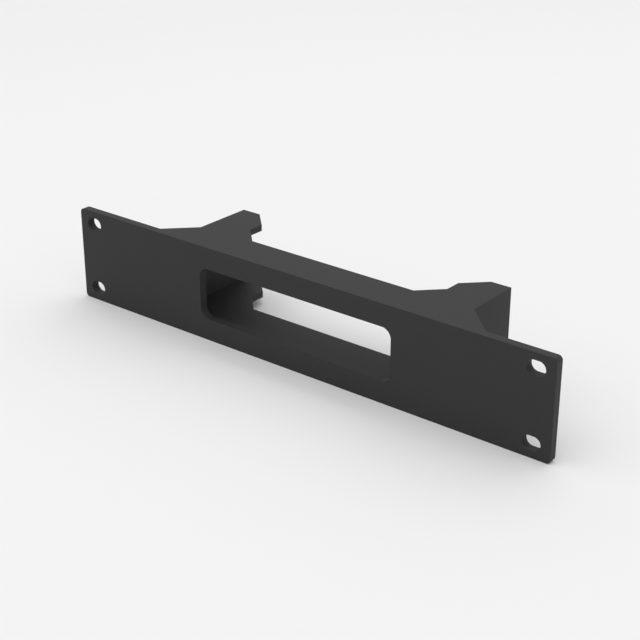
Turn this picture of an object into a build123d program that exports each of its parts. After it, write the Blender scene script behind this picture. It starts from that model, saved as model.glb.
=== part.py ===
from build123d import *
import os

os.makedirs("parts", exist_ok=True)

# A one-piece panel for a 10 inch rack, one unit high. A window in it opens into an open cage, which
# carries a small device behind the panel. Two plates and two side walls make the cage. A notch from
# the back leaves each plate a bar along the panel and an arm at each end.
# Sizes are in millimetres. X runs along the panel, +Y goes into the rack and Z is up. The origin is
# the middle of the panel's back face, which is also the middle of the slot pattern.

# Panel
panel_width = 254.0
panel_height = 44.45
panel_thickness = 4.0
panel_corner_radius = 2.0

# Slots for the screws of the rack's rails, placed by their middles from the panel's ends and edges
slot_from_end = 8.75
slot_from_edge = 6.35
slot_length = 8.4
slot_height = 6.2

# Window in front of the device
window_width = 103.8
window_height = 24.05
window_corner_radius = 4.5

# Cage, with its pocket for the device
pocket_width = 141.7
pocket_height = 30.3
cage_wall = 3.0
cage_depth = 50.2

# Notch in the cage's plates
bar_depth = 22.3
arm_tip_width = 9.9
notch_slant = 10.0

# Buttresses between the panel's back and the cage's side walls
left_buttress_leg = 20.5
right_buttress_leg = 22.3

slot_spacing_x = panel_width - 2 * slot_from_end
slot_spacing_z = panel_height - 2 * slot_from_edge
cage_width = pocket_width + 2 * cage_wall
cage_height = pocket_height + 2 * cage_wall
notch_half_width = cage_width / 2 - arm_tip_width - notch_slant


def through_panel(outline):
    """An outline drawn as seen from the front, made as deep as the panel is thick."""
    return extrude(Plane.XZ * outline, amount=panel_thickness)


def over_cage_height(outline):
    """An outline drawn as seen from above, made as high as the cage."""
    return extrude(Pos(0, 0, -cage_height / 2) * outline, amount=cage_height)


def face_panel():
    """The flat panel, with its window and a slot in each corner."""
    plate = through_panel(RectangleRounded(panel_width, panel_height, panel_corner_radius))
    plate -= through_panel(RectangleRounded(window_width, window_height, window_corner_radius))
    for corner in GridLocations(slot_spacing_x, slot_spacing_z, 2, 2):
        plate -= through_panel(corner * SlotOverall(slot_length, slot_height))
    return plate


def notch():
    """The notch seen from above: slanted corners at the bar, and slanted ends where the arms narrow."""
    corner_y = bar_depth + notch_slant
    past_back = cage_depth + notch_slant
    inner = [
        (notch_half_width - notch_slant, bar_depth),
        (notch_half_width, corner_y),
        (notch_half_width, corner_y + past_back),
    ]
    flare = [
        (notch_half_width, cage_depth - notch_slant),
        (notch_half_width + 2 * notch_slant, past_back),
    ]
    outline = Sketch()
    for right_side in (inner, flare):
        left_side = [(-x, y) for x, y in reversed(right_side)]
        outline += make_face(Polyline(*right_side, *left_side, close=True))
    return over_cage_height(outline)


def buttress(side, leg):
    """A triangular prism that fills the corner between the panel and one side wall of the cage."""
    wall_x = side * cage_width / 2
    corners = [(wall_x, 0), (wall_x + side * leg, 0), (wall_x, leg)]
    return over_cage_height(make_face(Polyline(*corners, close=True)))


def cage():
    """The open cage behind the panel, with its buttresses."""
    middle = Pos(0, cage_depth / 2, 0)
    shell = middle * Box(cage_width, cage_depth, cage_height)
    shell -= middle * Box(pocket_width, cage_depth, pocket_height)
    shell -= notch()
    return shell + buttress(-1, left_buttress_leg) + buttress(1, right_buttress_leg)


rack_panel = face_panel() + cage()
export_step(rack_panel, "parts/rack_panel.step")
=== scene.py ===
import math
import bmesh
import bpy
from mathutils import Euler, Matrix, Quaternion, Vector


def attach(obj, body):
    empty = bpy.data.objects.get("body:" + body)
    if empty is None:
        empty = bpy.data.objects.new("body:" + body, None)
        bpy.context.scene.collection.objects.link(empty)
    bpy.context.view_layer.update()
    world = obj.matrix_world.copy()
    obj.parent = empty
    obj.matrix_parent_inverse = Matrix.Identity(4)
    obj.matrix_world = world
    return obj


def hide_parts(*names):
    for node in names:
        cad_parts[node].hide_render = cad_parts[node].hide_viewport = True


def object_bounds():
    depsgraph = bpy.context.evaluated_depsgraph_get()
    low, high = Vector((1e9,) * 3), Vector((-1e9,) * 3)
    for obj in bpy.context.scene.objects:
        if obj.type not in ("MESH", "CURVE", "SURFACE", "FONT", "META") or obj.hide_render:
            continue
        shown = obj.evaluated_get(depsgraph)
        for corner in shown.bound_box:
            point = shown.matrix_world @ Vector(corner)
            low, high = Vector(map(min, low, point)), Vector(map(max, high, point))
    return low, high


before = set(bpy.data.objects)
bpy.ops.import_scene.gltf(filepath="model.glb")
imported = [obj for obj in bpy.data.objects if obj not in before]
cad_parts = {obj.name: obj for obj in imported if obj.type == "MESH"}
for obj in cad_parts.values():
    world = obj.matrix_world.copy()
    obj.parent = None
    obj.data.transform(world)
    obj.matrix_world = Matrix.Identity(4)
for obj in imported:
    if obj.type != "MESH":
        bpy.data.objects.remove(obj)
cad_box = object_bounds()

# A matt black rack panel with an open cage behind its window, standing on a pale floor.
# Metres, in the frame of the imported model: X along the panel, +Y into the rack, Z up, and the
# origin in the middle of the panel's back face.

# Camera, at the front right of the panel and a little above it
CAMERA_PLACE = (0.35268, -0.42347, 0.25239)
CAMERA_AZIMUTH = math.radians(38.762)
CAMERA_ELEVATION = math.radians(24.611)
CAMERA_ROLL = math.radians(0.080)
CAMERA_LENS = 80.604
CAMERA_SENSOR = 36
CAMERA_NEAREST = 0.02
CAMERA_FARTHEST = 60

# Studio: white walls all round, and wide soft lights, each by strength, azimuth and elevation
STUDIO_WHITE = (1, 0.99, 1)
WALL_LIGHT = 0.42
SOFT_LIGHTS = {
    "overhead_light": (0.77, math.radians(0), math.radians(80)),
    "back_light": (0.57, math.radians(180), math.radians(50)),
    "front_left_light": (0.40, math.radians(315), math.radians(50)),
    "right_light": (0.42, math.radians(90), math.radians(22)),
    "back_left_light": (0.26, math.radians(225), math.radians(22)),
    "left_light": (0.23, math.radians(270), math.radians(22)),
}
SOFT_LIGHT_SPREAD = math.radians(60)

# Floor, painted with light and shade: brightest behind the panel's right end, and painted shade makes it
# a little darker far from there
FLOOR_HALF_WIDTH = 12.0
FLOOR_WHITE = (0.909, 0.909, 0.909, 1)
FLOOR_PAINTED_SHADE_WHITE = (0.858, 0.858, 0.858, 1)
FLOOR_PAINTED_LIGHT_MIDDLE = (0.2, 0.1, 0)
FLOOR_PAINTED_SHADE_FROM = 0.35
FLOOR_PAINTED_SHADE_FULL_FROM = 1.2
FLOOR_ROUGHNESS = 0.9

# Edges: the outer ones are rounded over a little, and the inner ones stay crisp
EDGE_ROUND = 0.00015
EDGE_STEPS = 3
SHARP_FROM = math.radians(30)
WIDE_FACES_WEIGHT = 100
FLAT_WITHIN = math.radians(0.5)
SAME_POINT_WITHIN = 1e-6

# Matt black plastic
PLASTIC_DARK = (0.030, 0.030, 0.030, 1)
PLASTIC_LIGHT = (0.032, 0.032, 0.032, 1)
PLASTIC_GLOSS = 0.305
SMOOTHEST = 0.63
ROUGHEST = 0.68
GRAIN_SIZE = 0.00025
GRAIN_DEPTH = 0.00002
CLOUD_SIZE = 0.025


def look_from(azimuth, elevation):
    """The turn that faces the panel from that side: azimuth 0 is the front, 90 degrees the right end."""
    return Euler((math.pi / 2 - elevation, 0, azimuth)).to_quaternion()


def stand_camera():
    """The camera of the photo."""
    camera = bpy.data.objects.new("camera", bpy.data.cameras.new("camera"))
    camera.data.sensor_width = CAMERA_SENSOR
    camera.data.lens = CAMERA_LENS
    camera.data.clip_start = CAMERA_NEAREST
    camera.data.clip_end = CAMERA_FARTHEST
    camera.location = CAMERA_PLACE
    camera.rotation_mode = "QUATERNION"
    roll = Quaternion((0, 0, 1), CAMERA_ROLL)
    camera.rotation_quaternion = look_from(CAMERA_AZIMUTH, CAMERA_ELEVATION) @ roll
    bpy.context.collection.objects.link(camera)
    bpy.context.scene.camera = camera


def light_walls():
    """Even white light from all round."""
    world = bpy.data.worlds.new("white_studio")
    world.use_nodes = True
    walls = world.node_tree.nodes["Background"]
    walls.inputs["Color"].default_value = (*STUDIO_WHITE, 1)
    walls.inputs["Strength"].default_value = WALL_LIGHT
    bpy.context.scene.world = world
    bpy.context.scene.view_settings.view_transform = "Standard"


def hang_soft_light(name, strength, azimuth, elevation):
    """A wide soft light, far off on that side of the panel."""
    lamp = bpy.data.lights.new(name, "SUN")
    lamp.energy = strength
    lamp.color = STUDIO_WHITE
    lamp.angle = SOFT_LIGHT_SPREAD
    light = bpy.data.objects.new(name, lamp)
    light.rotation_mode = "QUATERNION"
    light.rotation_quaternion = look_from(azimuth, elevation)
    bpy.context.collection.objects.link(light)


def put_in_scene(name, bm):
    """A finished mesh as an object of the scene."""
    mesh = bpy.data.meshes.new(name)
    bm.to_mesh(mesh)
    bm.free()
    piece = bpy.data.objects.new(name, mesh)
    bpy.context.collection.objects.link(piece)
    return piece


def new_finish(name):
    """A material of that name, with its nodes, their links and its shader."""
    finish = bpy.data.materials.new(name)
    finish.use_nodes = True
    nodes, links = finish.node_tree.nodes, finish.node_tree.links
    return finish, nodes, links, nodes["Principled BSDF"]


def blend_colours(nodes, links, share, first, second):
    """The first colour where the share is 0, the second where it is 1, and a blend in between."""
    colour = nodes.new("ShaderNodeMix")
    colour.data_type = "RGBA"
    colour.inputs["A"].default_value = first
    colour.inputs["B"].default_value = second
    links.new(share, colour.inputs["Factor"])
    return colour.outputs["Result"]


def pale_floor_paint():
    """White paint without any gloss, with painted shade that makes it a little darker far from the
    floor's painted brightest place.
    """
    paint, nodes, links, shader = new_finish("pale_floor_paint")
    shader.inputs["Roughness"].default_value = FLOOR_ROUGHNESS
    shader.inputs["Specular IOR Level"].default_value = 0

    place = nodes.new("ShaderNodeTexCoord")
    distance = nodes.new("ShaderNodeVectorMath")
    distance.operation = "DISTANCE"
    distance.inputs[1].default_value = FLOOR_PAINTED_LIGHT_MIDDLE
    links.new(place.outputs["Object"], distance.inputs[0])

    # Painted shade: the floor's white darkens with distance from its painted bright middle
    painted_shade = nodes.new("ShaderNodeMapRange")
    painted_shade.interpolation_type = "SMOOTHSTEP"
    painted_shade.inputs["From Min"].default_value = FLOOR_PAINTED_SHADE_FROM
    painted_shade.inputs["From Max"].default_value = FLOOR_PAINTED_SHADE_FULL_FROM
    links.new(distance.outputs["Value"], painted_shade.inputs["Value"])

    white = blend_colours(nodes, links, painted_shade.outputs["Result"], FLOOR_WHITE, FLOOR_PAINTED_SHADE_WHITE)
    links.new(white, shader.inputs["Base Color"])
    return paint


def lay_floor():
    """The pale floor, at the panel's lower edge."""
    bm = bmesh.new()
    bmesh.ops.create_grid(bm, x_segments=1, y_segments=1, size=FLOOR_HALF_WIDTH)
    bmesh.ops.translate(bm, verts=bm.verts, vec=(0, 0, cad_box[0].z))
    floor = put_in_scene("floor", bm)
    floor.data.materials.append(pale_floor_paint())


def mottle_group():
    """A soft mottle, from 0 to 1, with patches of a given size."""
    group = bpy.data.node_groups.new("mottle", "ShaderNodeTree")
    group.interface.new_socket("Place", in_out="INPUT", socket_type="NodeSocketVector")
    group.interface.new_socket("Patch Size", in_out="INPUT", socket_type="NodeSocketFloat")
    group.interface.new_socket("Mottle", in_out="OUTPUT", socket_type="NodeSocketFloat")
    nodes, links = group.nodes, group.links
    given = nodes.new("NodeGroupInput")
    made = nodes.new("NodeGroupOutput")
    per_metre = nodes.new("ShaderNodeMath")
    per_metre.operation = "DIVIDE"
    per_metre.inputs[0].default_value = 1
    noise = nodes.new("ShaderNodeTexNoise")
    links.new(given.outputs["Patch Size"], per_metre.inputs[1])
    links.new(given.outputs["Place"], noise.inputs["Vector"])
    links.new(per_metre.outputs["Value"], noise.inputs["Scale"])
    links.new(noise.outputs["Fac"], made.inputs["Mottle"])
    return group


def black_plastic():
    """Matt black plastic, with the fine grain of its mould and faint wide clouds in its colour."""
    plastic, nodes, links, shader = new_finish("matt_black_plastic")
    shader.inputs["Specular IOR Level"].default_value = PLASTIC_GLOSS

    place = nodes.new("ShaderNodeTexCoord")
    mottle = mottle_group()
    grain = nodes.new("ShaderNodeGroup")
    clouds = nodes.new("ShaderNodeGroup")
    for node, patch_size in ((grain, GRAIN_SIZE), (clouds, CLOUD_SIZE)):
        node.node_tree = mottle
        node.inputs["Patch Size"].default_value = patch_size
        links.new(place.outputs["Object"], node.inputs["Place"])

    black = blend_colours(nodes, links, clouds.outputs["Mottle"], PLASTIC_DARK, PLASTIC_LIGHT)
    links.new(black, shader.inputs["Base Color"])

    roughness = nodes.new("ShaderNodeMapRange")
    roughness.inputs["To Min"].default_value = SMOOTHEST
    roughness.inputs["To Max"].default_value = ROUGHEST
    links.new(grain.outputs["Mottle"], roughness.inputs["Value"])
    links.new(roughness.outputs["Result"], shader.inputs["Roughness"])

    relief = nodes.new("ShaderNodeBump")
    relief.inputs["Distance"].default_value = GRAIN_DEPTH
    links.new(grain.outputs["Mottle"], relief.inputs["Height"])
    links.new(relief.outputs["Normal"], shader.inputs["Normal"])
    return plastic


def mould_panel():
    """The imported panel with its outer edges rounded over, as a mould leaves them."""
    bm = bmesh.new()
    bm.from_mesh(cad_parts["rack_panel"].data)
    bmesh.ops.remove_doubles(bm, verts=bm.verts, dist=SAME_POINT_WITHIN)
    bmesh.ops.dissolve_limit(bm, angle_limit=FLAT_WITHIN, verts=bm.verts, edges=bm.edges)
    outer = [edge for edge in bm.edges if edge.calc_face_angle_signed(0) > SHARP_FROM]
    bmesh.ops.bevel(
        bm, geom=outer, offset=EDGE_ROUND, offset_type="OFFSET", affect="EDGES",
        segments=EDGE_STEPS, profile=0.5, material=-1, clamp_overlap=False,
    )
    for face in bm.faces:
        face.smooth = True
    for edge in bm.edges:
        edge.smooth = edge.calc_face_angle_signed(0) > -SHARP_FROM
    panel = put_in_scene("moulded_panel", bm)

    flats = panel.modifiers.new("keep the flats flat", "WEIGHTED_NORMAL")
    flats.mode = "FACE_AREA"
    flats.weight = WIDE_FACES_WEIGHT
    flats.keep_sharp = True
    panel.data.materials.append(black_plastic())
    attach(panel, "root")
    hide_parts("rack_panel")


stand_camera()
light_walls()
for name, (strength, azimuth, elevation) in SOFT_LIGHTS.items():
    hang_soft_light(name, strength, azimuth, elevation)
lay_floor()
mould_panel()
